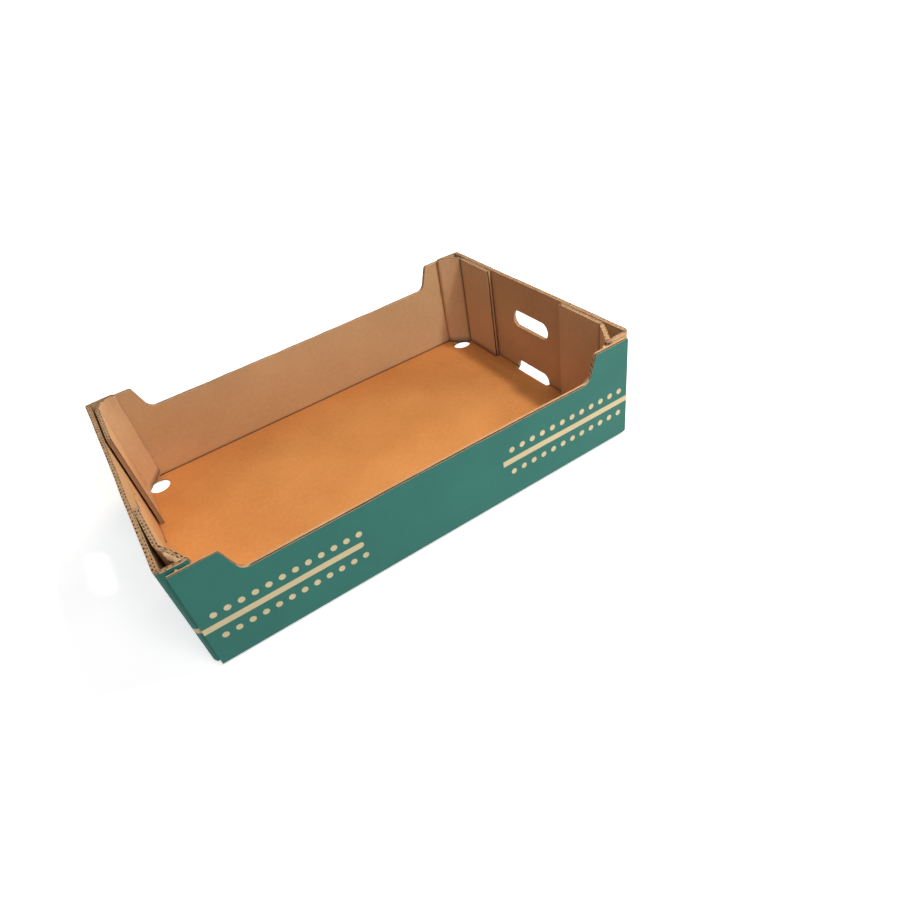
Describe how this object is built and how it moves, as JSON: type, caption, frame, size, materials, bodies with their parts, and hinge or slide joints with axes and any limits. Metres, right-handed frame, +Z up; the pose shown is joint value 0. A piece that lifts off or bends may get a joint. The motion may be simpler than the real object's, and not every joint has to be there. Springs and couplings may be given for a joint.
{
  "type": "cardboard tray box",
  "caption": "Open-top corrugated cardboard produce tray with folded triangular corner posts, lowered long sides, hand holes and foot notches in the ends, printed outside.",
  "frame": {"origin": "middle of the underside of the base", "axes": "+X along the tray's length, +Y towards the back long wall, +Z up"},
  "size_m": [0.6, 0.4, 0.152],
  "materials": {
    "board": "kraft double-wall corrugated board, printed teal green with a cream stripe and dots on the outside"
  },
  "bodies": {
    "root": {"tray": "board"}
  },
  "joints": []
}
